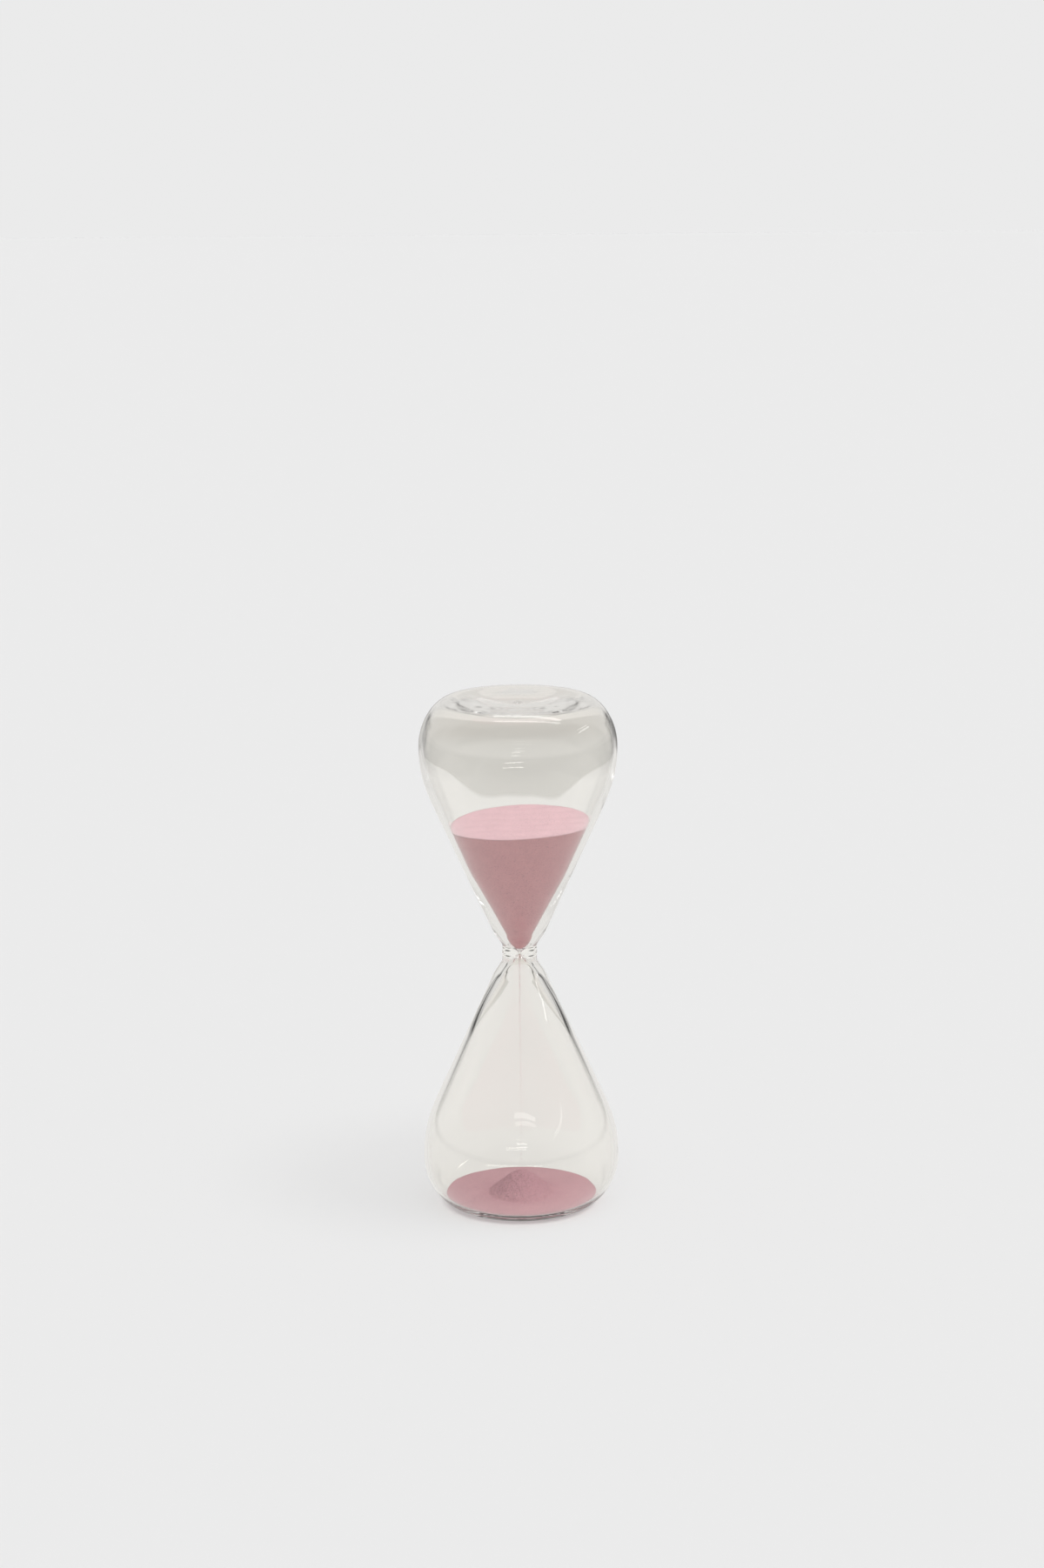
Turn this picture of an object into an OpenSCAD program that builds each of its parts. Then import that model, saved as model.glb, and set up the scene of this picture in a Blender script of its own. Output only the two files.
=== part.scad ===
// Hourglass without a frame: two blown glass bulbs fused at a narrow neck,
// with fine sand that runs from the upper bulb into the lower one.
// Millimetres. +Z is up, and the origin is the middle of the lower foot.

/* [Glass] */
// Height of the whole hourglass, foot to foot
total_h = 218; // [200:1:240]
// Widest diameter of each bulb
bulb_d = 82.5; // [76:0.5:90]
// Outer diameter of the neck
neck_d = 14.4; // [13:0.1:17]
// Angle between the axis and the straight side of a bulb, in degrees
cone_angle = 24.5; // [23:0.5:26]
// Distance from a foot to the widest ring of its bulb
belly_h = 20.5; // [19:0.5:24]
// Wall thickness on the straight side of a bulb
cone_wall = 2.1; // [1.6:0.1:2.4]
// Wall thickness at the widest ring
belly_wall = 1.7; // [1.3:0.1:2.2]
// Glass thickness over the foot
foot_wall = 2.6; // [2.2:0.1:3.2]

/* [Foot] */
// Middle diameter of the flat ring that each bulb stands on
foot_d = 48; // [42:1:54]
// Width of that flat ring
foot_land = 3; // [2:0.5:5]
// Depth of the hollow pushed up inside the foot
punt_depth = 3; // [2:0.1:3.2]
// Diameter of the melted button that closes the hole in each end
seal_d = 4.4; // [3:0.1:6]

/* [Orifice] */
// Diameter of the orifice
orifice_d = 1; // [0.8:0.05:1.6]
// Length of its narrowest stretch
orifice_l = 1; // [0.6:0.1:2]

/* [Sand] */
// Level of the sand left in the upper bulb, above the orifice
upper_level = 55.4; // [45:0.2:60]
// Rise of that surface towards +X, in degrees
tilt_x = 2.5; // [0:0.5:4]
// Rise of that surface towards +Y, in degrees
tilt_y = 1; // [0:0.5:4]
// Level of the sand bed in the lower bulb
bed_level = 4.2; // [3.8:0.1:5]
// Height of the fresh mound above the bed
mound_h = 9; // [6:0.5:12]
// Radius of the mound at its foot
mound_r = 15; // [14:0.5:22]

/* [Hidden] */
$fn = 128;

half_h = total_h / 2;
belly_r = bulb_d / 2;
neck_r = neck_d / 2;
orifice_r = orifice_d / 2;
half_orifice = orifice_l / 2;
seal_r = seal_d / 2;
foot_in = (foot_d - foot_land) / 2;
foot_out = (foot_d + foot_land) / 2;

// The weld reaches this far either side of the orifice, and its bead stands this proud
weld_h = 2.8;
bead_proud = 0.15;
bead_h = 0.9;
// Inner radius where the weld meets a bulb
mouth_r = 2.4;
// Where the outer flare of the neck runs into the straight side
flare = [11.4, 10];
// Radius where the straight side ends and the belly begins
shoulder_r = 33.6;
// Height where the inner wall leaves the straight side to thicken towards the neck
thicken_z = 36;
// Radius of the lowest ring of the inner wall
channel_r = 26.5;
// Glass left over the middle of the hollow foot
punt_wall = 2.2;
// How far a seal's melted button stands out of its hole
seal_nub = 0.9;
// The stream is narrower than the orifice by this factor once it falls freely
stream_draw = 0.8;
stream_draw_l = 8;
// Size of the block that cuts sand to its level, larger than any bulb
block = 200;
// Steps along each curve
steps = 14;

slope = tan(cone_angle);
side = [sin(cone_angle), cos(cone_angle)];
shoulder = [shoulder_r, flare.y + (shoulder_r - flare.x) / slope];
wall_across = cone_wall / cos(cone_angle);

// Points of a cubic Bezier curve, without the first one when skip is 1
function bezier(a, b, c, d, skip = 1) = [
    for (i = [skip : steps])
        let (t = i / steps, u = 1 - t)
        u * u * u * a + 3 * u * u * t * b + 3 * u * t * t * c + t * t * t * d
];

// Outer wall of a bulb as radius and distance from the orifice, from the weld to the seal
outer_wall =
    let (
        start = [neck_r, weld_h],
        belly = [belly_r, half_h - belly_h],
        reach = norm(belly - shoulder) * 0.4,
        rim = [foot_out, half_h],
        hollow = half_h - punt_depth
    ) concat(
        bezier(start, start + [0, 1.4], flare - side * 3, flare, 0),
        bezier(shoulder, shoulder + side * reach, belly - [0, reach], belly, 0),
        bezier(belly, belly + [0, belly_h * 0.52], rim + [(belly_r - foot_out) * 0.52, 0], rim),
        bezier([foot_in, half_h], [foot_in * 0.62, half_h], [foot_in * 0.5, hollow], [seal_r, hollow], 0)
    );

// Its inner wall, from the seal back to the mouth at the weld
inner_wall =
    let (
        top = half_h - foot_wall,
        seal = [seal_r, half_h - punt_depth - punt_wall],
        channel = [channel_r, top],
        belly = [belly_r - belly_wall, half_h - belly_h],
        shoulder_in = shoulder - [wall_across, 0],
        thicken = [flare.x + (thicken_z - flare.y) * slope - wall_across, thicken_z],
        mouth = [mouth_r, weld_h],
        reach = norm(belly - shoulder_in) * 0.4
    ) concat(
        bezier(seal, [channel_r * 0.45, seal.y], [channel_r * 0.62, top], channel, 0),
        bezier(channel, channel + [7.5, 0], belly + [0, 10], belly),
        bezier(belly, belly - [0, reach], shoulder_in + side * reach, shoulder_in),
        bezier(thicken, thicken - side * 11, mouth + [4.2, 6], mouth, 0)
    );

// A bulb and what belongs to it are drawn from the orifice outwards, then put in place
module lower() { translate([0, 0, half_h]) mirror([0, 0, 1]) children(); }
module upper() { translate([0, 0, half_h]) children(); }

module bulb() {
    rotate_extrude() polygon(concat(outer_wall, inner_wall));
}

// The whole hollow of a bulb with its funnel in the weld, down to the given end of the orifice
module hollow(end) {
    rotate_extrude() polygon(concat(
        [[0, inner_wall[0].y]], inner_wall,
        [[orifice_r, half_orifice], [orifice_r, end], [0, end]]
    ));
}

module lower_bulb() { color("#e4e1dc", 0.35) lower() bulb(); }
module upper_bulb() { color("#e4e1dc", 0.35) upper() bulb(); }

// The fused neck: a thick glass ring with a funnel on either side of the orifice
module neck_weld() {
    color("#dcdad2", 0.35) upper() rotate_extrude() polygon([
        [orifice_r, -half_orifice], [mouth_r, -weld_h], [neck_r, -weld_h],
        for (a = [-90 : 15 : 90]) [neck_r + bead_proud * cos(a), bead_h * sin(a)],
        [neck_r, weld_h], [mouth_r, weld_h], [orifice_r, half_orifice]
    ]);
}

// Melted glass that fills the hole in an end and stands a little into the hollow of the foot
module seal() {
    outside = half_h - punt_depth;
    inside = outside - punt_wall;
    rotate_extrude() polygon([
        [0, inside], [seal_r, inside], [seal_r, outside],
        for (a = [15 : 15 : 90]) [seal_r * cos(a), outside + seal_nub * sin(a)]
    ]);
}

module lower_seal() { color("#dcdad2", 0.35) lower() seal(); }
module upper_seal() { color("#dcdad2", 0.35) upper() seal(); }

// Sand left in the upper bulb and its neck, under a slightly tilted surface
module upper_sand() {
    color("#d9a9b2") upper() intersection() {
        hollow(-half_orifice);
        translate([0, 0, upper_level]) rotate([tilt_y, -tilt_x, 0])
            translate([-block / 2, -block / 2, -block]) cube(block);
    }
}

// The falling stream, which narrows as it leaves the orifice
module falling_sand() {
    top = half_h - half_orifice;
    thin_r = orifice_r * stream_draw;
    foot = bed_level + mound_h;
    color("#d9a9b2") rotate_extrude()
        polygon([[0, foot], [thin_r, foot], [thin_r, top - stream_draw_l], [orifice_r, top], [0, top]]);
}

// Fresh sand heaped at its angle of repose, with a round top and a short skirt
module sand_mound() {
    foot = [mound_r, bed_level];
    tip = [0, bed_level + mound_h];
    color("#c9929d") intersection() {
        lower() hollow(half_orifice);
        rotate_extrude() polygon(concat(
            [[0, bed_level]],
            bezier(foot, foot + [-4.5, 0.9], tip + [6, 0], tip, 0)
        ));
    }
}

// Level sand round the raised middle of the lower foot
module sand_bed() {
    color("#d9a9b2") intersection() {
        lower() hollow(half_orifice);
        translate([-block / 2, -block / 2, bed_level - block]) cube(block);
    }
}

lower_bulb();
upper_bulb();
neck_weld();
lower_seal();
upper_seal();
upper_sand();
falling_sand();
sand_mound();
sand_bed();
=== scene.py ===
"""A free-standing hourglass: blown glass bulbs fused at the neck, and the sand inside them."""
import math
import random
from itertools import combinations

import bpy
import numpy as np
from mathutils import Euler, Matrix, Vector, noise


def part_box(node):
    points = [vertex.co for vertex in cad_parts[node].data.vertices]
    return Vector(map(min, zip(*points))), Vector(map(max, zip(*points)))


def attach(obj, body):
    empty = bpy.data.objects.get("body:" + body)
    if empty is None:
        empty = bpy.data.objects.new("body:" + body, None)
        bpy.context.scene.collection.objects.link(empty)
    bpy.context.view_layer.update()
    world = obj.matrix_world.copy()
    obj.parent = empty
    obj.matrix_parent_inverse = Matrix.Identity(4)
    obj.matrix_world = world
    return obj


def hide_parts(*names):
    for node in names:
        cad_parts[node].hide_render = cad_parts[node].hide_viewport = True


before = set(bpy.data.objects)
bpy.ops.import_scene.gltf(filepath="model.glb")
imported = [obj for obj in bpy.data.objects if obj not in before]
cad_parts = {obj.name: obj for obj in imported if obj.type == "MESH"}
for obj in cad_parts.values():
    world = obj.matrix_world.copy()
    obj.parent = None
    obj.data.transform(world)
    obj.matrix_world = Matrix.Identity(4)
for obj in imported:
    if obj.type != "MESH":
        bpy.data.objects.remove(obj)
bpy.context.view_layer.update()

MM = 0.001
random.seed(7)

# ---------------------------------------------------------------- sizes, from the frame

bulb_low, bulb_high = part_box("upper_bulb")
weld_low, weld_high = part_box("neck_weld")
seal_low, seal_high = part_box("upper_seal")
upper_low, upper_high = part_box("upper_sand")
stream_low, stream_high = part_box("falling_sand")
mound_low, mound_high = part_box("sand_mound")
bed_low, bed_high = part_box("sand_bed")

HALF_H = (bulb_high.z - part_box("lower_bulb")[0].z) / 2
BELLY_R = (bulb_high.x - bulb_low.x) / 2
WELD_H = weld_high.z - HALF_H
SEAL_R = (seal_high.x - seal_low.x) / 2
SEAL_INSIDE = seal_low.z - HALF_H
SEAL_TOP = seal_high.z - HALF_H
BED_Z = bed_high.z
MOUND_R = (mound_high.x - mound_low.x) / 2

# The rest of the glass outline, as in the frame's own design
BEAD_PROUD = 0.15 * MM
NECK_R = (weld_high.x - weld_low.x) / 2 - BEAD_PROUD
ORIFICE_R = (stream_high.x - stream_low.x) / 2
HALF_ORIFICE = HALF_H - stream_high.z
MOUTH_R = 2.4 * MM
CONE_ANGLE = math.radians(24.5)
CONE_WALL = 2.1 * MM
BELLY_WALL = 1.7 * MM
FOOT_WALL = 2.6 * MM
BELLY_H = 20.5 * MM
FLARE = (11.4 * MM, 10.0 * MM)
SHOULDER_R = 33.6 * MM
THICKEN_Z = 36.0 * MM
CHANNEL_R = 26.5 * MM
FOOT_IN = 22.5 * MM
FOOT_OUT = 25.5 * MM
PUNT_DEPTH = 3.0 * MM

# Bezier handles, as shares of what they span: for a quarter turn, and for the long bend from cone to belly
ROUND = 0.52
LONG_BEND = 0.4

# Rings of the meshes, and the space between the sand and the glass or its own outline
SEGMENTS = 240
CURVE_STEPS = 26
SAME_POINT = 1e-7
AIR_GAP = 0.12 * MM
GRAIN_GAP = 0.05 * MM

# Direction of the cone's side, and how far it runs outwards for each step up
SIDE = np.array([math.sin(CONE_ANGLE), math.cos(CONE_ANGLE)])
SLOPE = math.tan(CONE_ANGLE)


# ---------------------------------------------------------------- outlines

def bezier(a, b, c, d, steps=CURVE_STEPS):
    """Points of a cubic Bezier curve, both ends included."""
    a, b, c, d = (np.asarray(p, float) for p in (a, b, c, d))
    t = np.linspace(0, 1, steps + 1)[:, None]
    u = 1 - t
    return u**3 * a + 3 * u * u * t * b + 3 * u * t * t * c + t**3 * d


def straight(a, b, steps):
    """Points along a line, both ends included."""
    t = np.linspace(0, 1, steps + 1)[:, None]
    return (1 - t) * np.asarray(a, float) + t * np.asarray(b, float)


def chain(*runs):
    """Joins runs of points, leaving out each point that repeats the last."""
    points = [runs[0][0]]
    for run in runs:
        for p in run:
            if np.hypot(*(p - points[-1])) > SAME_POINT:
                points.append(p)
    return np.array(points)


def outer_wall():
    """Radius and distance from the orifice of a bulb's outside, from the weld to the seal."""
    start = np.array([NECK_R, WELD_H])
    flare = np.array(FLARE)
    shoulder = np.array([SHOULDER_R, FLARE[1] + (SHOULDER_R - FLARE[0]) / SLOPE])
    belly = np.array([BELLY_R, HALF_H - BELLY_H])
    rim = np.array([FOOT_OUT, HALF_H])
    hollow = HALF_H - PUNT_DEPTH
    reach = np.hypot(*(belly - shoulder)) * LONG_BEND
    round_in = (BELLY_R - FOOT_OUT) * ROUND
    return chain(
        bezier(start, start + [0, 1.4 * MM], flare - SIDE * 3 * MM, flare),
        straight(flare, shoulder, 40),
        bezier(shoulder, shoulder + SIDE * reach, belly - [0, reach], belly),
        bezier(belly, belly + [0, BELLY_H * ROUND], rim + [round_in, 0], rim),
        straight(rim, [FOOT_IN, HALF_H], 4),
        bezier([FOOT_IN, HALF_H], [FOOT_IN * 0.62, HALF_H], [FOOT_IN * 0.5, hollow], [SEAL_R, hollow]),
    )


def inner_wall():
    """The same for the inside, from the seal back to the mouth at the weld."""
    shoulder = np.array([SHOULDER_R, FLARE[1] + (SHOULDER_R - FLARE[0]) / SLOPE])
    across = np.array([CONE_WALL / math.cos(CONE_ANGLE), 0])
    seal = np.array([SEAL_R, SEAL_INSIDE])
    channel = np.array([CHANNEL_R, HALF_H - FOOT_WALL])
    belly = np.array([BELLY_R - BELLY_WALL, HALF_H - BELLY_H])
    inside = shoulder - across
    thicken = np.array([FLARE[0] + (THICKEN_Z - FLARE[1]) * SLOPE, THICKEN_Z]) - across
    mouth = np.array([MOUTH_R, WELD_H])
    reach = np.hypot(*(belly - inside)) * LONG_BEND
    return chain(
        bezier(seal, [CHANNEL_R * 0.45, seal[1]], [CHANNEL_R * 0.62, channel[1]], channel),
        bezier(channel, channel + [7.5 * MM, 0], belly + [0, 10 * MM], belly),
        bezier(belly, belly - [0, reach], inside + SIDE * reach, inside),
        straight(inside, thicken, 16),
        bezier(thicken, thicken - SIDE * 11 * MM, mouth + [4.2 * MM, 6 * MM], mouth),
    )


def funnel():
    """The inside of the weld on one side, from a bulb's mouth to the orifice."""
    mouth = np.array([MOUTH_R, WELD_H])
    throat = np.array([ORIFICE_R, HALF_ORIFICE])
    return bezier(mouth, mouth - [0.9 * MM, 1.3 * MM], throat + [0.15 * MM, 0.7 * MM], throat, 12)


OUTER = outer_wall()
INNER = inner_wall()


# ---------------------------------------------------------------- the unevenness of blown glass

# Where the waves start at each end of a bulb, and how far on they are full
NECK_CALM, NECK_RISE = 4 * MM, 16 * MM
FOOT_CALM, FOOT_RISE = 1.5 * MM, 12 * MM
OUTER_WAVE = 0.16 * MM
INNER_WAVE = 0.12 * MM
INNER_LAG = 2.1
LOWER_PHASE = 4.2
UPPER_PHASE = 0.9


def ease(t):
    """A smooth rise from 0 to 1."""
    t = np.clip(t, 0, 1)
    return t * t * (3 - 2 * t)


def settle(z):
    """0 at the fused neck and at the foot ring, 1 between them, for z measured from the orifice."""
    return ease((z - NECK_CALM) / NECK_RISE) * ease((HALF_H - FOOT_CALM - z) / FOOT_RISE)


def waves(angle, z, phase, size):
    """How far blown glass stands inside its ideal outline, at an angle and a distance from the orifice."""
    t = z / MM
    ripple = (
        0.40 * np.sin(2 * angle + phase + t / 31)
        + 0.25 * np.sin(3 * angle - 1.7 * phase - t / 17)
        + 0.20 * np.sin(angle + 2.3 * phase + t / 9)
        + 0.15 * np.sin(5 * angle + 0.6 * phase + t / 13)
    )
    return size * settle(z) * (ripple - 1)


def outer_shift(phase):
    """Radial shift of a bulb's outside."""
    return lambda angle, r, z: waves(angle, z, phase, OUTER_WAVE) * (r > SEAL_R)


def inner_shift(phase):
    """Radial shift of a bulb's inside: it follows the outside with waves of its own."""
    return lambda angle, r, z: (
        waves(angle, z, phase, OUTER_WAVE) + waves(angle, z, phase + INNER_LAG, INNER_WAVE)
    ) * (r > SEAL_R)


# ---------------------------------------------------------------- mesh making

def skin(rings, loop=False):
    """Vertices and faces of a surface through rings of points. A ring of one point is a pole."""
    vertices, index = [], []
    for ring in rings:
        index.append(range(len(vertices), len(vertices) + len(ring)))
        vertices += ring
    pairs = list(zip(index, index[1:]))
    if loop:
        pairs.append((index[-1], index[0]))
    faces = []
    for a, b in pairs:
        count = max(len(a), len(b))
        for j in range(count if count > 1 else 0):
            k = (j + 1) % count
            if len(a) == 1:
                faces.append((a[0], b[j], b[k]))
            elif len(b) == 1:
                faces.append((a[j], b[0], a[k]))
            else:
                faces.append((a[j], b[j], b[k], a[k]))
    return vertices, faces


def outward(vertices, faces):
    """The same faces, all turned over if they enclose a negative volume."""
    p = np.array(vertices)
    a, b, c = (p[[face[i] for face in faces]] for i in (0, 1, 2))
    d = p[[face[-1] for face in faces]]
    volume = np.einsum("ij,ij->i", a, np.cross(b, c)).sum() + np.einsum("ij,ij->i", a, np.cross(c, d)).sum()
    return faces if volume > 0 else [face[::-1] for face in faces]


def revolve(runs, place, closing=0, segments=SEGMENTS):
    """Turns a closed loop of runs into a body round the axis.

    Each run is (points, shift, material index); a shift moves its rings, and the faces between two
    runs belong to the later one. closing is the material index of the faces from the last ring to
    the first. place maps a distance from the orifice to a height. Returns the vertices, the faces,
    their material indices and the vertices of the rings where the material changes.
    """
    angles = np.arange(segments) * 2 * math.pi / segments
    rings, slots = [], []
    for points, shift, slot in runs:
        for r, z in points:
            if r == 0:
                rings.append([(0.0, 0.0, place(z))])
            else:
                radius = r + (shift(angles, r, z) if shift else 0 * angles)
                spots = zip(radius * np.cos(angles), radius * np.sin(angles))
                rings.append([(x, y, place(z)) for x, y in spots])
            slots.append(slot)
    slots = slots[1:] + [closing]
    sizes = [len(ring) for ring in rings]
    face_slots = []
    for i, slot in enumerate(slots):
        if max(sizes[i], sizes[(i + 1) % len(sizes)]) > 1:
            face_slots += [slot] * segments
    starts = np.cumsum([0] + sizes)
    changes = [i for i in range(len(slots)) if slots[i] != slots[i - 1]]
    sharp = [v for i in changes for v in range(starts[i], starts[i + 1])]
    vertices, faces = skin(rings, loop=True)
    return vertices, outward(vertices, faces), face_slots, sharp


def new_piece(name, node, vertices, faces, materials, face_slots=None, sharp=()):
    """Makes a smooth mesh object that rides with the frame and stands for its CAD node."""
    mesh = bpy.data.meshes.new(name)
    mesh.from_pydata(vertices, [], faces)
    mesh.polygons.foreach_set("use_smooth", [True] * len(mesh.polygons))
    for material in materials:
        mesh.materials.append(material)
    if face_slots is not None:
        mesh.polygons.foreach_set("material_index", face_slots)
    marked = set(sharp)
    for edge in mesh.edges if marked else ():
        a, b = edge.vertices
        edge.use_edge_sharp = a in marked and b in marked
    mesh.update()
    piece = bpy.data.objects.new(name, mesh)
    bpy.context.scene.collection.objects.link(piece)
    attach(piece, "root")
    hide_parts(node)
    return piece


def up(z):
    """Height of a point of the upper bulb."""
    return HALF_H + z


def down(z):
    """Height of a point of the lower bulb."""
    return HALF_H - z


# ---------------------------------------------------------------- materials

GLASS_INDEX = 1.48

# Sand: the heights between which the painted shades at the foot take over, as if in the shadow of the sand
# above, the distances from the axis between which the darker painted shade round the middle gives way to the
# lighter one, and the raggedness of that edge
FOOT_SAND = (0.04, 0.02)
SHADED_MIDDLE = (7 * MM, 22 * MM)
RAGGED = 6 * MM
# How far up a surface faces where the painted shade of the sides gives way to the lighter top, as if lit from
# overhead
TOP_FACING = (-0.1, 0.4)
# The sand's uneven lightness, its share of dark grains and how much darker they are
DRIFT = 0.16
SPECKS = 0.025
SPECK_SHADE = -0.35
# The front of the fresh heap, where dark grains gather
COARSE_SPECKS = 0.16
COARSE_SPOT = (-3.5 * MM, -5 * MM)
COARSE_REACH = (9 * MM, 4 * MM)


def node_material(name):
    """A new node material with its Principled node."""
    material = bpy.data.materials.new(name)
    material.use_nodes = True
    return material, material.node_tree, material.node_tree.nodes["Principled BSDF"]


def add(tree, kind, **inputs):
    """A new node with some inputs set."""
    made = tree.nodes.new(kind)
    for key, given in inputs.items():
        made.inputs[key.replace("_", " ")].default_value = given
    return made


def value(tree, operation, *inputs):
    """A Math node's output; an input is a number or another output."""
    node = tree.nodes.new("ShaderNodeMath")
    node.operation = operation
    for socket, given in zip(node.inputs, inputs):
        if isinstance(given, (int, float)):
            socket.default_value = given
        else:
            tree.links.new(given, socket)
    return node.outputs["Value"]


def step(tree, given, start, end):
    """0 below start and 1 above end, with a smooth rise between."""
    node = add(tree, "ShaderNodeMapRange", From_Min=start, From_Max=end)
    node.interpolation_type = "SMOOTHSTEP"
    tree.links.new(given, node.inputs["Value"])
    return node.outputs["Result"]


def distance(tree, x, y, x0, y0):
    """Distance from (x0, y0) on the floor."""
    across, along = value(tree, "SUBTRACT", x, x0), value(tree, "SUBTRACT", y, y0)
    squares = value(tree, "MULTIPLY_ADD", across, across, value(tree, "MULTIPLY", along, along))
    return value(tree, "SQRT", squares)


def glass(name, tint, drag):
    """Clear blown glass with faint ripples, through which light shines without a hard shadow."""
    material, tree, shader = node_material(name)
    shader.inputs["Base Color"].default_value = (*tint, 1)
    shader.inputs["Transmission Weight"].default_value = 1.0
    shader.inputs["Roughness"].default_value = 0.0
    shader.inputs["IOR"].default_value = GLASS_INDEX
    place = add(tree, "ShaderNodeTexCoord")
    stretch = add(tree, "ShaderNodeMapping", Scale=(1, 1, 0.35))
    swirl = add(tree, "ShaderNodeTexNoise", Scale=90.0, Detail=2.0, Roughness=0.4)
    bump = add(tree, "ShaderNodeBump", Strength=drag, Distance=0.0004)
    tree.links.new(place.outputs["Object"], stretch.inputs["Vector"])
    tree.links.new(stretch.outputs["Vector"], swirl.inputs["Vector"])
    tree.links.new(swirl.outputs["Fac"], bump.inputs["Height"])
    tree.links.new(bump.outputs["Normal"], shader.inputs["Normal"])
    rays = tree.nodes.new("ShaderNodeLightPath")
    clear = add(tree, "ShaderNodeBsdfTransparent", Color=(*[c**0.5 for c in tint], 1))
    seen = shader.outputs["BSDF"]
    for kind in ("Is Shadow Ray", "Is Diffuse Ray"):
        mix = tree.nodes.new("ShaderNodeMixShader")
        tree.links.new(rays.outputs[kind], mix.inputs["Fac"])
        tree.links.new(seen, mix.inputs[1])
        tree.links.new(clear.outputs["BSDF"], mix.inputs[2])
        seen = mix.outputs["Shader"]
    tree.links.new(seen, tree.nodes["Material Output"].inputs["Surface"])
    return material


def fused():
    """The place where two pieces of glass are melted together: there is no surface to see."""
    material, _, shader = node_material("fused_joint")
    shader.inputs["Alpha"].default_value = 0.0
    return material


def mix_colours(tree, share, first, second):
    """A colour between two, each a tuple or an output."""
    node = tree.nodes.new("ShaderNodeMix")
    node.data_type = "RGBA"
    tree.links.new(share, node.inputs["Factor"])
    for name, given in (("A", first), ("B", second)):
        if isinstance(given, tuple):
            node.inputs[name].default_value = (*given, 1)
        else:
            tree.links.new(given, node.inputs[name])
    return node.outputs["Result"]


def sand(name, top, shaded_side, low, grain, contrast):
    """Fine dyed sand: single grains of slightly different shades, with a few dark specks.

    Sides that face sideways or down are darker than the top, a painted shade as if lit from overhead. low
    holds the painted shades near the foot, as if in the shadow of the sand above: the darker one near the
    axis, under the stream, and the lighter one further out.
    """
    material, tree, shader = node_material(name)
    shader.inputs["Roughness"].default_value = 0.9
    shader.inputs["Specular IOR Level"].default_value = 0.2
    place = tree.nodes.new("ShaderNodeTexCoord")
    grains = add(tree, "ShaderNodeTexVoronoi", Scale=1.0 / grain)
    drift = add(tree, "ShaderNodeTexNoise", Scale=140.0, Detail=5.0, Roughness=0.6)
    for node in (grains, drift):
        tree.links.new(place.outputs["Object"], node.inputs["Vector"])
    axis = tree.nodes.new("ShaderNodeSeparateXYZ")
    tree.links.new(place.outputs["Object"], axis.inputs["Vector"])
    x, y, z = axis.outputs
    facing = tree.nodes.new("ShaderNodeSeparateXYZ")
    tree.links.new(tree.nodes.new("ShaderNodeNewGeometry").outputs["Normal"], facing.inputs["Vector"])
    # Painted shade: sides that face sideways or down get the darker colour, as if lit from overhead; the top
    # keeps the lighter one
    colour = mix_colours(tree, step(tree, facing.outputs["Z"], *TOP_FACING), shaded_side, top)
    # Painted shade at the foot: the sand there takes darker shades, as if in the shadow of the sand above,
    # darkest near the axis behind a ragged edge
    ragged = value(tree, "MULTIPLY_ADD", drift.outputs["Fac"], RAGGED, -RAGGED / 2)
    reach = value(tree, "ADD", distance(tree, x, y, 0.0, 0.0), ragged)
    at_foot = step(tree, z, *FOOT_SAND)
    bottom = mix_colours(tree, step(tree, reach, *SHADED_MIDDLE), low[0], low[1])
    colour = mix_colours(tree, at_foot, colour, bottom)
    shade = tree.nodes.new("ShaderNodeSeparateColor")
    tree.links.new(grains.outputs["Color"], shade.inputs["Color"])
    lightness = value(tree, "MULTIPLY_ADD", shade.outputs["Red"], contrast, 1.0 - contrast / 2)
    patchy = value(tree, "MULTIPLY_ADD", drift.outputs["Fac"], DRIFT, -DRIFT / 2)
    lightness = value(tree, "ADD", lightness, patchy)
    coarse = step(tree, distance(tree, x, y, *COARSE_SPOT), *COARSE_REACH)
    coarse = value(tree, "MULTIPLY", coarse, at_foot)
    share = value(tree, "MULTIPLY_ADD", coarse, COARSE_SPECKS, SPECKS)
    dark = value(tree, "GREATER_THAN", value(tree, "ADD", shade.outputs["Green"], share), 1.0)
    lightness = value(tree, "MULTIPLY_ADD", dark, SPECK_SHADE, lightness)
    scaled = tree.nodes.new("ShaderNodeVectorMath")
    scaled.operation = "SCALE"
    tree.links.new(colour, scaled.inputs[0])
    tree.links.new(lightness, scaled.inputs["Scale"])
    tree.links.new(scaled.outputs["Vector"], shader.inputs["Base Color"])
    bump = add(tree, "ShaderNodeBump", Strength=0.5, Distance=grain * 0.5)
    bump.invert = True
    tree.links.new(grains.outputs["Distance"], bump.inputs["Height"])
    tree.links.new(bump.outputs["Normal"], shader.inputs["Normal"])
    return material


BULB_GLASS = glass("blown_glass", tint=(0.945, 0.94, 0.925), drag=0.06)
WELD_GLASS = glass("melted_glass", tint=(0.90, 0.895, 0.87), drag=0.10)
FUSED = fused()
# Painted shades for the sand at the foot, as if in the shadow of the sand above: the darker near the axis,
# the lighter further out
LOW = ((0.56, 0.295, 0.335), (0.62, 0.35, 0.385))
PINK = sand("pink_sand", (0.86, 0.57, 0.615), (0.70, 0.37, 0.39), LOW, grain=0.22 * MM, contrast=0.14)
# The heap's sand: coarser grains with more contrast, in a darker copy of the pink that is painted shade
SHADED_HEAP_SAND = sand("fresh_sand", (0.62, 0.345, 0.39), (0.55, 0.30, 0.34), LOW, grain=0.26 * MM, contrast=0.24)


# ---------------------------------------------------------------- the glass

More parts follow.
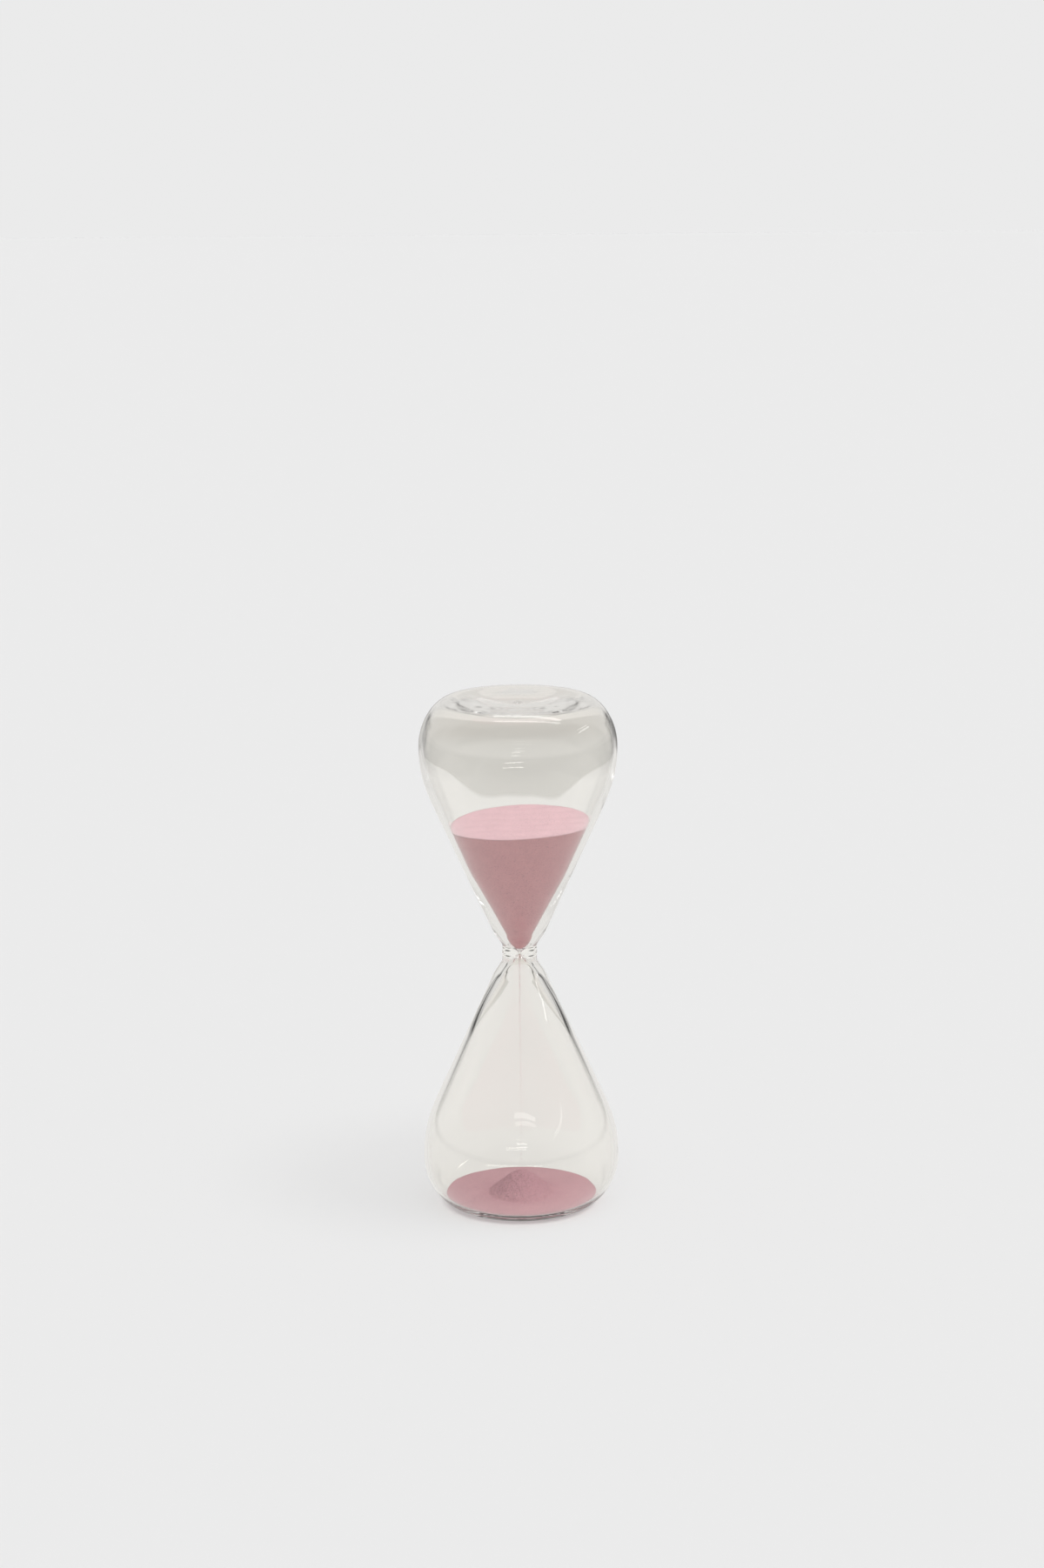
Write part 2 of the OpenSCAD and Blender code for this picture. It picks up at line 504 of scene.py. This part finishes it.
def bulb(name, node, place, phase):
    """A blown bulb: its outside, the hole that the seal fills, its inside and the face fused to the weld."""
    hole = straight([SEAL_R, OUTER[-1][1]], INNER[0], 2)[1:]
    runs = [(OUTER, outer_shift(phase), 0), (hole, None, 1), (INNER[1:], inner_shift(phase), 0)]
    vertices, faces, slots, sharp = revolve(runs, place, closing=1)
    new_piece(name, node, vertices, faces, [BULB_GLASS, FUSED], slots, sharp)


def neck_weld():
    """The fused neck, with a soft bead round its middle and a funnel on each side of the orifice."""
    heights = np.linspace(-WELD_H, WELD_H, 41)
    bead = BEAD_PROUD * np.exp(-((heights / (0.5 * MM)) ** 2))
    outside = np.column_stack([NECK_R + bead, heights])
    top = funnel()
    throat = straight(top[-1], top[-1] * [1, -1], 4)[1:]
    bottom = top[::-1][1:] * [1, -1]
    runs = [(outside, None, 0), (top[:1], None, 1), (chain(top[1:], throat, bottom), None, 0)]
    vertices, faces, slots, sharp = revolve(runs, up, closing=1)
    materials = [WELD_GLASS, FUSED]
    new_piece("neck_weld_glass", "neck_weld", vertices, faces, materials, slots, sharp)


def seal(name, node, place):
    """The melted button in a hole: flush inside, a rounded nub outside."""
    rim = np.array([SEAL_R, OUTER[-1][1]])
    tip = np.array([0, SEAL_TOP])
    inside = straight([0, SEAL_INSIDE], [SEAL_R, SEAL_INSIDE], 6)
    wall = straight(inside[-1], rim, 2)[1:]
    nub = bezier(rim, rim + [-0.5 * MM, 0.1 * MM], tip + [1.3 * MM, 0], tip, 16)[1:]
    runs = [(inside, None, 0), (wall, None, 1), (nub, None, 0)]
    vertices, faces, slots, sharp = revolve(runs, place)
    new_piece(name, node, vertices, faces, [WELD_GLASS, FUSED], slots, sharp)


bulb("lower_bulb_glass", "lower_bulb", down, LOWER_PHASE)
bulb("upper_bulb_glass", "upper_bulb", up, UPPER_PHASE)
neck_weld()
seal("lower_seal_glass", "lower_seal", down)
seal("upper_seal_glass", "upper_seal", up)


# ---------------------------------------------------------------- the sand

RISING = chain(INNER, funnel())[::-1]
WIDEST = int(np.argmax(RISING[:, 0]))
UPPER_TILT = math.tan(math.radians(2.5))
UPPER_LEVEL = upper_high.z - UPPER_TILT * (upper_high.x - upper_low.x) / 2
UPPER_R = (upper_high.x - upper_low.x) / 2
MOUND_TOP = mound_high.z

# Ripples of the upper sand: their height and pitch, the two sways that bend them, each with its size,
# length and phase, and how fast they die out towards the glass
RIPPLE_HEIGHT, RIPPLE_PITCH = 0.45 * MM, 1.5 * MM
SWAYS = ((1.6 * MM, 9 * MM, 0), (0.8 * MM, 4.1 * MM, 1))
FADE_LENGTH = 13 * MM
RIM_CALM = 5

# Fractal noise: its slice, and how its octaves shrink and how many there are
NOISE_SLICE = 3.7
NOISE_FALL, NOISE_STEP, NOISE_OCTAVES = 0.7, 2.1, 4


def hollow_radius(z):
    """Inner radius of a bulb at a distance from the orifice, up to its widest ring."""
    return np.interp(z, RISING[:WIDEST + 1, 1], RISING[:WIDEST + 1, 0])


def sand_wall(phase):
    """Radius of the sand that lies against a bulb, at an angle and a distance from the orifice."""
    shift = inner_shift(phase)
    return lambda angle, z: hollow_radius(z) + float(shift(angle, 1.0, z)) - AIR_GAP


def uneven(x, y, size, depth):
    """Fractal unevenness of a sand surface, with lumps of a given size."""
    spot = Vector((x / size, y / size, NOISE_SLICE))
    return depth * noise.fractal(spot, NOISE_FALL, NOISE_STEP, NOISE_OCTAVES)


def around(segments):
    """Equal angles round the axis."""
    return [i * 2 * math.pi / segments for i in range(segments)]


def upper_surface(x, y):
    """Height of the upper sand: tilted up towards +X, with low ripples that run from side to side."""
    sway = sum(size * math.sin(x / length + phase) for size, length, phase in SWAYS)
    fade = 0.55 + 0.45 * math.sin(x / FADE_LENGTH + 0.6)
    calm = min(1, max(0, (1.02 - math.hypot(x, y) / UPPER_R) * RIM_CALM))
    ripple = RIPPLE_HEIGHT * fade * math.sin((y + sway) / RIPPLE_PITCH)
    broad, fine = uneven(x, y, 6 * MM, 0.12 * MM), uneven(x, y, 0.8 * MM, 0.03 * MM)
    return UPPER_LEVEL + UPPER_TILT * x + calm * (ripple + broad) + fine


def upper_sand():
    """The sand left above: a rippled top, and a side that follows the glass down into the neck."""
    segments, top_rings, side_rings = 320, 72, 96
    angles = around(segments)
    wall = sand_wall(UPPER_PHASE)
    bottom = HALF_ORIFICE + 0.35 * MM
    rim = []
    for a in angles:
        z = UPPER_LEVEL - HALF_H
        for _ in range(4):
            r = wall(a, z)
            z = upper_surface(r * math.cos(a), r * math.sin(a)) - HALF_H
        rim.append((a, r, z))
    rings = [[(0.0, 0.0, upper_surface(0, 0))]]
    for i in range(1, top_rings + 1):
        share = i / top_rings
        spots = [(share * r * math.cos(a), share * r * math.sin(a)) for a, r, z in rim]
        rings.append([(x, y, upper_surface(x, y)) for x, y in spots])
    for i in range(1, side_rings + 1):
        share = (1 - i / side_rings) ** 1.25
        ring = []
        for a, r, z in rim:
            h = bottom + (z - bottom) * share
            w = wall(a, h)
            w -= GRAIN_GAP * (1 + noise.noise(Vector((w * math.cos(a), w * math.sin(a), h)) / (0.7 * MM)))
            ring.append((w * math.cos(a), w * math.sin(a), HALF_H + h))
        rings.append(ring)
    rings.append([(0.0, 0.0, HALF_H + bottom - 0.2 * MM)])
    vertices, faces = skin(rings)
    new_piece("upper_sand_charge", "upper_sand", vertices, outward(vertices, faces), [PINK])


def floor_height(r):
    """Height of the glass inside the lower foot at a radius, out to the widest ring."""
    widest = int(np.argmax(INNER[:, 0]))
    return HALF_H - np.interp(r, INNER[:widest + 1, 0], INNER[:widest + 1, 1])


MOUND_FOOT = np.array([MOUND_R, BED_Z])
MOUND_TIP = np.array([0, MOUND_TOP])
MOUND_CURVE = bezier(MOUND_FOOT, MOUND_FOOT + [-4.5 * MM, 0.9 * MM], MOUND_TIP + [6 * MM, 0], MOUND_TIP, 40)


def bed_surface(x, y):
    """Height of the bed, which stays just under its own outline."""
    return BED_Z + uneven(x, y, 9 * MM, 0.16 * MM) + uneven(x, y, 1.1 * MM, 0.05 * MM) - 0.12 * MM


def mound_surface(x, y):
    """Height of the mound, whose ragged skirt dips just under the bed."""
    r = math.hypot(x, y)
    shape = np.interp(r, MOUND_CURVE[::-1, 0], MOUND_CURVE[::-1, 1])
    lift = (shape - BED_Z) / (MOUND_TOP - BED_Z)
    lumps = uneven(x, y, 4 * MM, 0.45 * MM) + uneven(x, y, 0.8 * MM, 0.16 * MM)
    blend_in = min(1, 9 * lift)
    skirt = bed_surface(x, y) - 0.15 * MM
    return min(skirt + (shape + lumps - skirt) * blend_in, MOUND_TOP - GRAIN_GAP)


def sand_mound():
    """The fresh heap under the stream."""
    segments, count = 256, 64
    angles = around(segments)
    spot = lambda r: [(r * math.cos(a), r * math.sin(a)) for a in angles]
    radii = [MOUND_R * i / count for i in range(1, count + 1)]
    rings = [[(0.0, 0.0, mound_surface(0, 0))]]
    rings += [[(x, y, mound_surface(x, y)) for x, y in spot(r)] for r in radii]
    base = BED_Z - 0.4 * MM
    for r in radii[::-8]:
        height = max(base, float(floor_height(r)) + AIR_GAP)
        rings.append([(x, y, height) for x, y in spot(r)])
    rings.append([(0.0, 0.0, max(base, float(floor_height(0)) + AIR_GAP))])
    vertices, faces = skin(rings)
    new_piece("sand_mound_heap", "sand_mound", vertices, outward(vertices, faces), [SHADED_HEAP_SAND])


def sand_bed():
    """Level sand round the raised middle of the lower foot."""
    segments, count, under_count = 320, 60, 24
    angles = around(segments)
    across = np.linspace(0, CHANNEL_R, 200)
    inside = np.interp(-BED_Z, -floor_height(across), across)
    belly = INNER[CURVE_STEPS:int(np.argmax(INNER[:, 0])) + 1]
    rim = float(np.interp(BED_Z - HALF_H, -belly[:, 1], belly[:, 0]))
    shift = inner_shift(LOWER_PHASE)
    outer_r = {a: rim + float(shift(a, 1.0, HALF_H - BED_Z)) - AIR_GAP for a in angles}
    rings = []
    for i in range(count + 1):
        share = i / count
        ring = []
        for a in angles:
            r = inside + (outer_r[a] - inside) * share
            ring.append((r * math.cos(a), r * math.sin(a), bed_surface(r * math.cos(a), r * math.sin(a))))
        rings.append(ring)
    for i in range(under_count, -1, -1):
        share = i / under_count
        ring = []
        for a in angles:
            r = inside + (outer_r[a] - inside) * share
            height = min(float(floor_height(r)) + AIR_GAP, BED_Z - 0.3 * MM)
            ring.append((r * math.cos(a), r * math.sin(a), height))
        rings.append(ring)
    vertices, faces = skin(rings, loop=True)
    new_piece("sand_bed_level", "sand_bed", vertices, outward(vertices, faces), [PINK])


def falling_sand():
    """The stream: single grains, close together at the orifice and further apart as they speed up."""
    grains, size, start_speed, gravity = 650, 0.075 * MM, 0.05, 9.81
    sizes, bumps = (0.7, 1.3), (0.85, 1.15)
    top, foot = stream_high.z, MOUND_TOP - 0.2 * MM
    golden = (1 + 5**0.5) / 2
    corners = []
    for a in (-1, 1):
        for b in (-golden, golden):
            corners += [(0, a, b), (a, b, 0), (b, 0, a)]
    corners = [Vector(c).normalized() for c in corners]
    # Neighbouring corners are 1.05 apart and the others 1.70 or more
    near = lambda i, j: (corners[i] - corners[j]).length < 1.2
    triangles = []
    for i, j, k in combinations(range(len(corners)), 3):
        if near(i, j) and near(j, k) and near(i, k):
            a, b, c = corners[i], corners[j], corners[k]
            triangles.append((i, j, k) if (b - a).cross(c - a).dot(a) > 0 else (k, j, i))
    fall_time = (math.sqrt(start_speed**2 + 2 * gravity * (top - foot)) - start_speed) / gravity
    vertices, faces = [], []
    for _ in range(grains):
        t = random.random() * fall_time
        z = top - start_speed * t - gravity * t * t / 2
        spread = ORIFICE_R * 0.95
        r, a = spread * math.sqrt(random.random()), random.random() * 2 * math.pi
        scale = size * random.uniform(*sizes)
        centre = Vector((r * math.cos(a), r * math.sin(a), z))
        first = len(vertices)
        vertices += [tuple(centre + c * scale * random.uniform(*bumps)) for c in corners]
        faces += [tuple(first + i for i in t) for t in triangles]
    new_piece("falling_sand_stream", "falling_sand", vertices, faces, [PINK])


upper_sand()
sand_mound()
sand_bed()
falling_sand()


# ---------------------------------------------------------------- the studio

# Levels of light, as shares of white, of the room round the hourglass
PALE = (0.83, 0.83, 0.83)
PALE_WALL = (0.78, 0.77, 0.75)
WALL_LOW = (0.75, 0.74, 0.71)
WALL = (0.70, 0.68, 0.645)
WALL_TOP = (0.88, 0.855, 0.82)
CORNER = (0.07, 0.07, 0.065)
SHINE = (0.11, 0.10, 0.08, 1)
FILL = 0.35

# The floor: its size, its own tone and its glow, which fades out under the foot as a painted shadow
FLOOR_REACH = 12.0
FLOOR_TONE = (0.45, 0.45, 0.45, 1)
FLOOR_GLOW = 0.36
GLOW_START = (0.018, 0.027)
FOOT_SHADE = 0.16
FOOT_SHADE_END = (0.022, 0.042)

# Levels seen only by reflection: of the table and beyond its edges, and up the room in front and behind
MIRRORED_TABLE = 0.82
MIRRORED_SIDE = 0.45
MIRRORED_BACK = 0.41
MIRRORED_FRONT = 0.14
MIRRORED = ((0.0, 0.80), (0.10, 0.78), (0.30, 0.60), (0.60, 0.32), (1.0, 0.45))
BACKDROP = ((0.0, 0.45), (0.015, 0.06), (0.08, 0.02), (0.11, 0.62), (0.135, 0.30), (0.17, 0.72), (1.0, 0.82))
WARMTH = (1.0, 0.985, 0.96)

# Where the table ends by reflection, in metres from the hourglass
SIDES = (0.46, 0.52)
BACK = (0.86, 1.0)
FRONT = (-0.18, -0.75)

# What shows through the glass: the table's back edge with its bays, the wall's bands and the dark corners
TABLE_BACK = (0.735, 0.755)
INNER_BAY, INNER_DEPTH = (0.01, 0.045), 0.02
OUTER_BAY, OUTER_DEPTH = (0.045, 0.10), -0.055
WALL_BAND = (0.86, 1.02)
WALL_TOP_BAND = (1.5, 1.9)
CORNER_X = ((0.26, 0.34), (0.66, 0.60))
CORNER_Y = ((0.46, 0.58), (1.10, 1.02))

# Directions, as parts of a unit vector, between which the mirrored backdrop turns dark, and where it starts
DARK_ASIDE = ((0.25, 0.42), (0.74, 0.64))
BACKDROP_START = (0.0, 0.2)

CEILING = 1.2
KEY_POWER = 2.3
KEY_SPREAD = math.radians(45)
KEY_DIRECTION = (-0.22, 0.2, -1.0)
# How many passes through glass a ray has made when it comes from a bulb's far wall
FAR_WALL = (2.5, 3.5)


def blend(tree, share, first, second):
    """A Mix Shader's output."""
    node = tree.nodes.new("ShaderNodeMixShader")
    tree.links.new(share, node.inputs["Fac"])
    tree.links.new(first, node.inputs[1])
    tree.links.new(second, node.inputs[2])
    return node.outputs["Shader"]


def axes(tree, output):
    """The X, Y and Z outputs of a texture coordinate."""
    place = tree.nodes.new("ShaderNodeTexCoord")
    split = tree.nodes.new("ShaderNodeSeparateXYZ")
    tree.links.new(place.outputs[output], split.inputs["Vector"])
    return [split.outputs[axis] for axis in "XYZ"]


def window(tree, given, rise, fall):
    """1 between a rise and a fall, 0 outside them."""
    return value(tree, "MULTIPLY", step(tree, given, *rise), step(tree, given, *fall))


def levels(tree, share, stops):
    """A warm grey from a ramp, whose stops are (position, level)."""
    ramp = tree.nodes.new("ShaderNodeValToRGB")
    while len(ramp.color_ramp.elements) < len(stops):
        ramp.color_ramp.elements.new(0.5)
    for element, (position, level) in zip(ramp.color_ramp.elements, stops):
        element.position = position
        element.color = (*[level * part for part in WARMTH], 1)
    tree.links.new(share, ramp.inputs["Fac"])
    return ramp.outputs["Color"]


def mirrored_share(tree):
    """1 for what is seen by reflection, else 0."""
    rays = tree.nodes.new("ShaderNodeLightPath")
    return value(tree, "MINIMUM", rays.outputs["Glossy Depth"], 1.0)


def studio_floor():
    """A pale table top. Mirrored in the glass it is bright, and it ends in front and at the sides."""
    mesh = bpy.data.meshes.new("floor")
    corners = [(FLOOR_REACH * a, FLOOR_REACH * b, 0) for a, b in ((-1, -1), (1, -1), (1, 1), (-1, 1))]
    mesh.from_pydata(corners, [], [(0, 1, 2, 3)])
    floor = bpy.data.objects.new("floor", mesh)
    bpy.context.scene.collection.objects.link(floor)
    material, tree, shader = node_material("table_top")
    shader.inputs["Base Color"].default_value = FLOOR_TONE
    shader.inputs["Emission Color"].default_value = (1, 1, 1, 1)
    shader.inputs["Roughness"].default_value = 1.0
    shader.inputs["Specular IOR Level"].default_value = 0.0
    x, y, _ = axes(tree, "Object")
    across = value(tree, "ABSOLUTE", x)
    away = distance(tree, x, y, 0.0, 0.0)
    # Painted shadow: the floor's glow is cut under the foot
    glow_share = step(tree, away, *GLOW_START)
    tree.links.new(value(tree, "MULTIPLY", glow_share, FLOOR_GLOW), shader.inputs["Emission Strength"])

    # By reflection: a level that changes at the table's edges and falls off under the foot as a painted
    # shadow
    off_side = step(tree, across, *SIDES)
    level = value(tree, "MULTIPLY_ADD", off_side, MIRRORED_SIDE - MIRRORED_TABLE, MIRRORED_TABLE)
    for edge, shade in ((BACK, MIRRORED_BACK), (FRONT, MIRRORED_FRONT)):
        off = step(tree, y, *edge)
        level = value(tree, "MULTIPLY_ADD", off, value(tree, "SUBTRACT", shade, level), level)
    open_floor = step(tree, away, *FOOT_SHADE_END)
    under_foot = value(tree, "MULTIPLY_ADD", open_floor, 1.0 - FOOT_SHADE, FOOT_SHADE)
    mirrored = add(tree, "ShaderNodeEmission", Color=(*WARMTH, 1))
    tree.links.new(value(tree, "MULTIPLY", level, under_foot), mirrored.inputs["Strength"])

    # Through the glass: the wall beyond the table's back edge, and the dark corners beside it
    rays = tree.nodes.new("ShaderNodeLightPath")
    through_glass = rays.outputs["Is Transmission Ray"]
    edge = value(tree, "MULTIPLY_ADD", step(tree, across, *INNER_BAY), INNER_DEPTH, y)
    edge = value(tree, "MULTIPLY_ADD", step(tree, across, *OUTER_BAY), OUTER_DEPTH, edge)
    behind = value(tree, "MULTIPLY", step(tree, edge, *TABLE_BACK), through_glass)
    wall = add(tree, "ShaderNodeEmission", Strength=1.0)
    shade = mix_colours(tree, step(tree, y, *WALL_BAND), WALL_LOW, WALL)
    shade = mix_colours(tree, step(tree, y, *WALL_TOP_BAND), shade, WALL_TOP)
    tree.links.new(shade, wall.inputs["Color"])
    corner = value(tree, "MULTIPLY", window(tree, across, *CORNER_X), window(tree, y, *CORNER_Y))
    beside = value(tree, "MULTIPLY", corner, through_glass)
    dark = add(tree, "ShaderNodeEmission", Color=(*CORNER, 1), Strength=1.0)
    shine = add(tree, "ShaderNodeEmission", Color=SHINE)
    tree.links.new(value(tree, "MULTIPLY", through_glass, open_floor), shine.inputs["Strength"])
    lit = tree.nodes.new("ShaderNodeAddShader")
    tree.links.new(shader.outputs["BSDF"], lit.inputs[0])
    tree.links.new(shine.outputs["Emission"], lit.inputs[1])
    seen = blend(tree, behind, lit.outputs["Shader"], wall.outputs["Emission"])
    seen = blend(tree, beside, seen, dark.outputs["Emission"])
    seen = blend(tree, mirrored_share(tree), seen, mirrored.outputs["Emission"])
    tree.links.new(seen, tree.nodes["Material Output"].inputs["Surface"])
    mesh.materials.append(material)


def studio_world():
    """Pale to the camera and through the glass, a room with a backdrop by reflection, and soft fill light."""
    world = bpy.data.worlds.new("studio")
    bpy.context.scene.world = world
    world.use_nodes = True
    tree = world.node_tree
    tree.nodes.clear()
    x, y, z = axes(tree, "Generated")
    fill = add(tree, "ShaderNodeBackground", Color=(1, 1, 1, 1), Strength=FILL)
    pale = add(tree, "ShaderNodeBackground", Color=(*PALE, 1), Strength=1.0)
    room = add(tree, "ShaderNodeBackground", Strength=1.0)
    backdrop = add(tree, "ShaderNodeBackground", Strength=1.0)
    tree.links.new(levels(tree, z, MIRRORED), room.inputs["Color"])
    across = value(tree, "ABSOLUTE", x)
    aside = window(tree, across, *DARK_ASIDE)
    tree.links.new(mix_colours(tree, aside, PALE_WALL, levels(tree, z, BACKDROP)), backdrop.inputs["Color"])
    rays = tree.nodes.new("ShaderNodeLightPath")
    wall = add(tree, "ShaderNodeBackground", Color=(*WALL_TOP, 1), Strength=1.0)
    fill, pale, room, backdrop, wall = (n.outputs["Background"] for n in (fill, pale, room, backdrop, wall))
    direct = blend(tree, rays.outputs["Is Camera Ray"], fill, pale)
    direct = blend(tree, rays.outputs["Is Transmission Ray"], direct, wall)
    around_it = blend(tree, step(tree, y, *BACKDROP_START), room, backdrop)
    output = tree.nodes.new("ShaderNodeOutputWorld")
    tree.links.new(blend(tree, mirrored_share(tree), direct, around_it), output.inputs["Surface"])


def link_light(name, data, location, direction):
    """A lamp that shines in a direction and that the camera doesn't see."""
    lamp = bpy.data.objects.new(name, data)
    bpy.context.scene.collection.objects.link(lamp)
    lamp.location = location
    lamp.rotation_euler = Vector(direction).to_track_quat("-Z", "Y").to_euler()
    lamp.visible_camera = False
    return lamp


def key_light():
    """Broad soft light from overhead; the glass doesn't mirror it."""
    data = bpy.data.lights.new("key", "SUN")
    data.energy = KEY_POWER
    data.angle = KEY_SPREAD
    lamp = link_light("key", data, (0, 0, CEILING), KEY_DIRECTION)
    lamp.visible_glossy = False
    lamp.visible_transmission = False


def strip_light(name, x, y, length, width, level, turn=0.0, inside=1.0):
    """A ceiling lamp that shows in the glass and lights nothing else.

    level is its brightness as a share of white, turn its angle round the vertical in degrees, and inside
    how many times brighter it shows on the far wall of a bulb, seen through the near one.
    """
    data = bpy.data.lights.new(name, "AREA")
    data.shape = "RECTANGLE"
    data.size, data.size_y = length, width
    data.energy = level * length * width * math.pi
    lamp = link_light(name, data, (x, y, CEILING), (0, 0, -1))
    lamp.rotation_euler.z += math.radians(turn)
    lamp.visible_diffuse = False
    data.use_nodes = True
    tree = data.node_tree
    rays = tree.nodes.new("ShaderNodeLightPath")
    far = step(tree, rays.outputs["Transmission Depth"], *FAR_WALL)
    strength = value(tree, "MULTIPLY_ADD", far, inside - 1.0, 1.0)
    tree.links.new(strength, tree.nodes["Emission"].inputs["Strength"])


studio_floor()
studio_world()
key_light()
strip_light("ceiling_strip_1", x=0.20, y=0.06, length=0.98, width=0.13, level=4.5, turn=-10)
strip_light("ceiling_strip_2", x=0.23, y=-1.99, length=1.05, width=0.085, level=2.4, inside=7.0)
strip_light("ceiling_strip_3", x=0.12, y=-3.90, length=0.80, width=0.25, level=5.0)
strip_light("side_strip_1", x=1.95, y=0.20, length=0.14, width=0.72, level=4.2)
strip_light("side_strip_2", x=2.30, y=-1.80, length=0.10, width=1.20, level=1.8)

# Light that is caught inside a glass wall needs many turns to get out
GLASS_BOUNCES = 96

scene = bpy.context.scene
scene.view_settings.view_transform = "Standard"
scene.view_settings.look = "None"
scene.cycles.caustics_reflective = False
scene.cycles.caustics_refractive = False
scene.cycles.max_bounces = GLASS_BOUNCES
scene.cycles.transmission_bounces = GLASS_BOUNCES
scene.cycles.glossy_bounces = GLASS_BOUNCES
scene.cycles.transparent_max_bounces = 24


# ---------------------------------------------------------------- the camera

LENS = 72.2
RISE = math.radians(14.9)
DISTANCE = 1.319
AIM_UP = math.radians(3.053)
YAW = math.radians(-0.07)
ROLL = math.radians(-0.45)


def camera():
    """A long lens, a little above the hourglass, which stands low in the frame."""
    data = bpy.data.cameras.new("camera")
    data.sensor_width = 36.0
    data.lens = LENS
    data.clip_start, data.clip_end = 0.01, 50
    cam = bpy.data.objects.new("camera", data)
    scene.collection.objects.link(cam)
    cam.location = (0, -DISTANCE * math.cos(RISE), HALF_H + DISTANCE * math.sin(RISE))
    turn = Euler((math.radians(90) - RISE + AIM_UP, 0, YAW)).to_matrix()
    cam.rotation_euler = (turn @ Matrix.Rotation(ROLL, 3, "Z")).to_euler()
    scene.camera = cam


camera()
